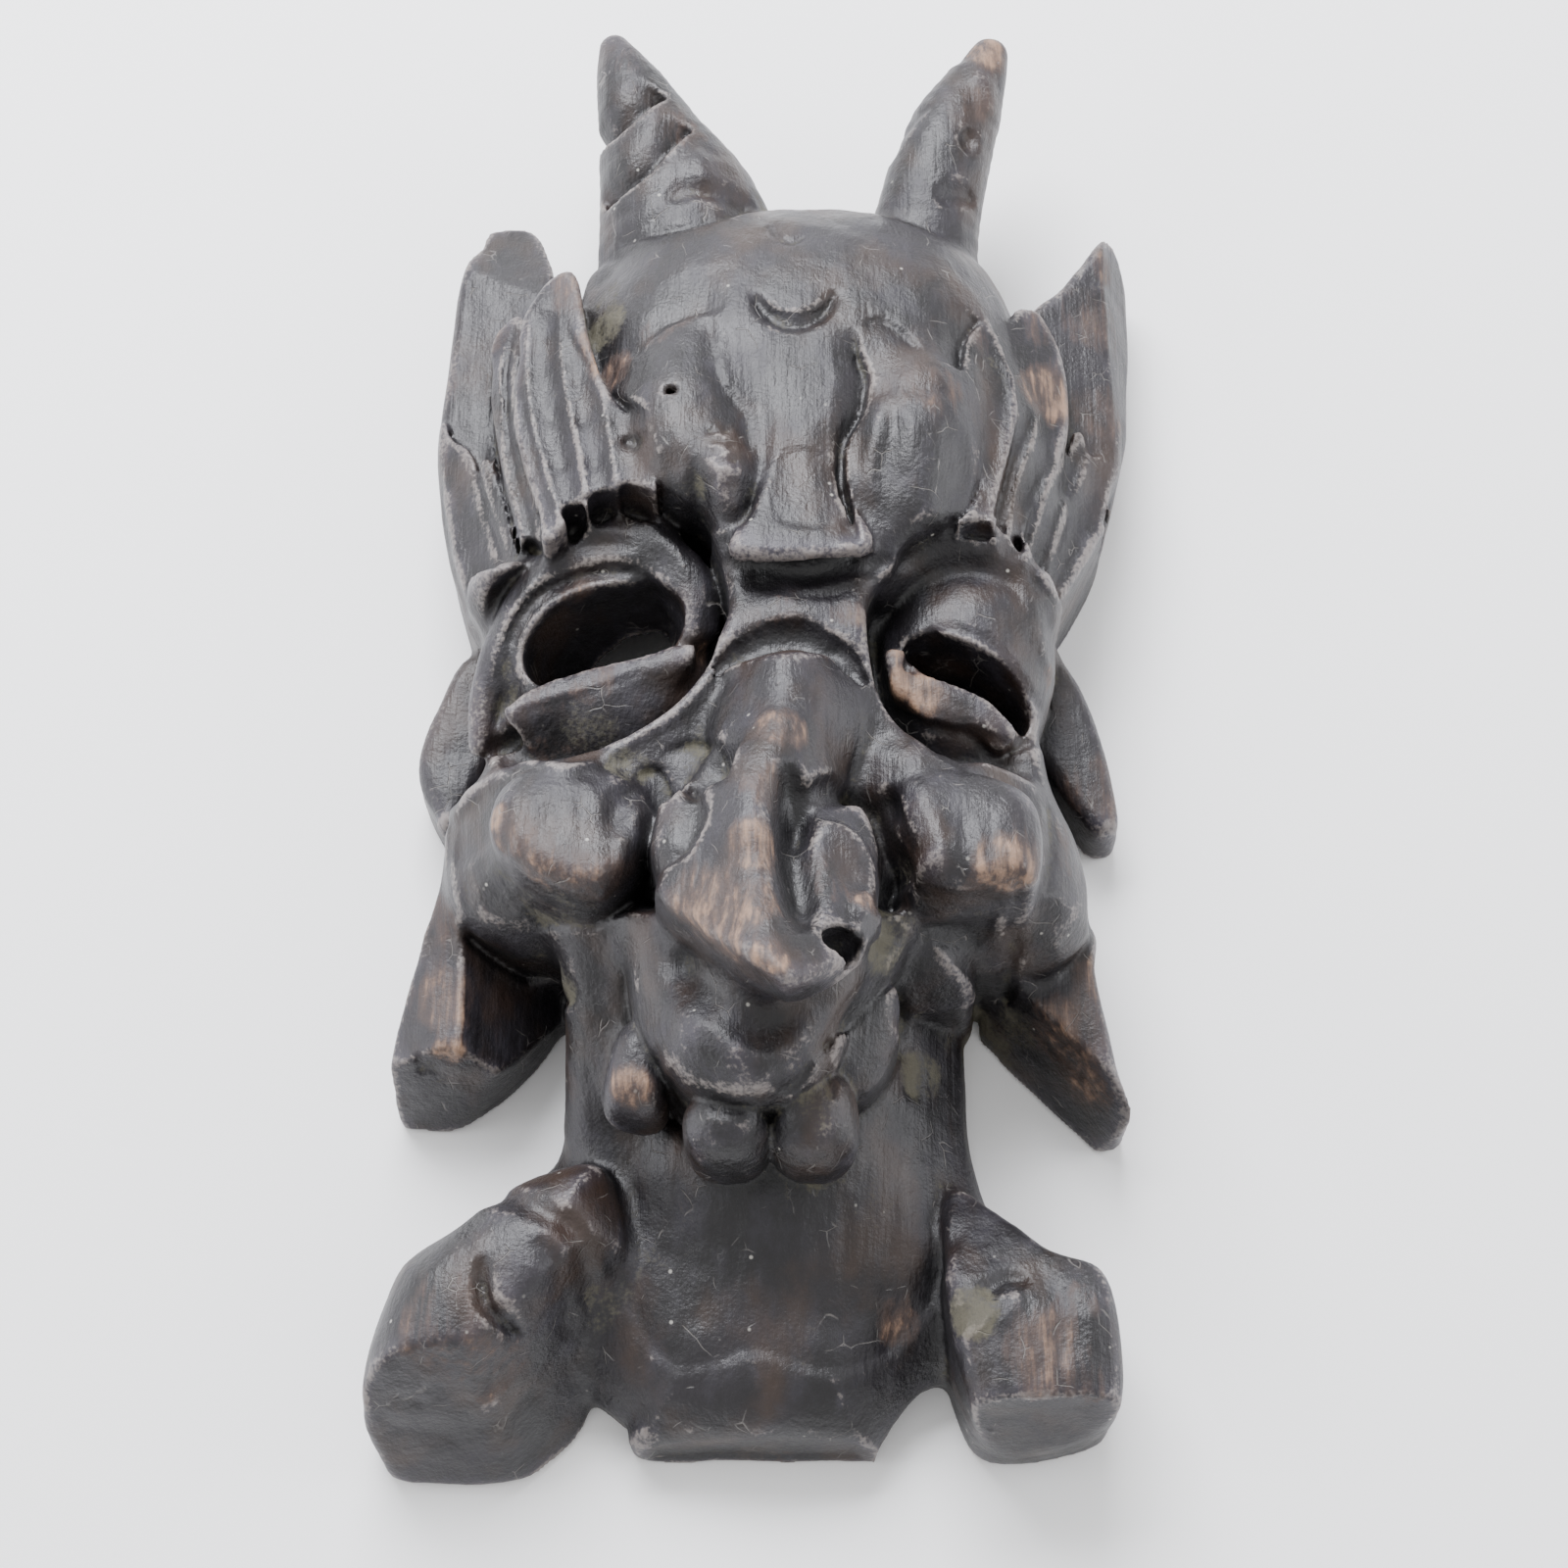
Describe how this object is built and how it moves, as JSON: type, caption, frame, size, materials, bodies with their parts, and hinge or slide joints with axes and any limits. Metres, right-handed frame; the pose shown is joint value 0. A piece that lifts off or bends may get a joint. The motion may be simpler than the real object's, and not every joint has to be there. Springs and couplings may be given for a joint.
{
  "type": "carved wooden demon mask",
  "caption": "Horned demon mask carved in one block of dark-stained wood, with long ears, hooked nose, big teeth, neck and shoulder blocks, and a hollowed flat back.",
  "frame": {"origin": "bottom centre of the bounding box, on the plane of the flat back", "axes": "+Z the way the face looks, +Y towards the horns, +X to the viewer's right; the mask lies on its back"},
  "size_m": [0.203, 0.4158, 0.1147],
  "materials": {
    "stained_wood": "black stain rubbed thin on the raised parts"
  },
  "bodies": {
    "root": {"mask": "stained_wood"}
  },
  "joints": []
}
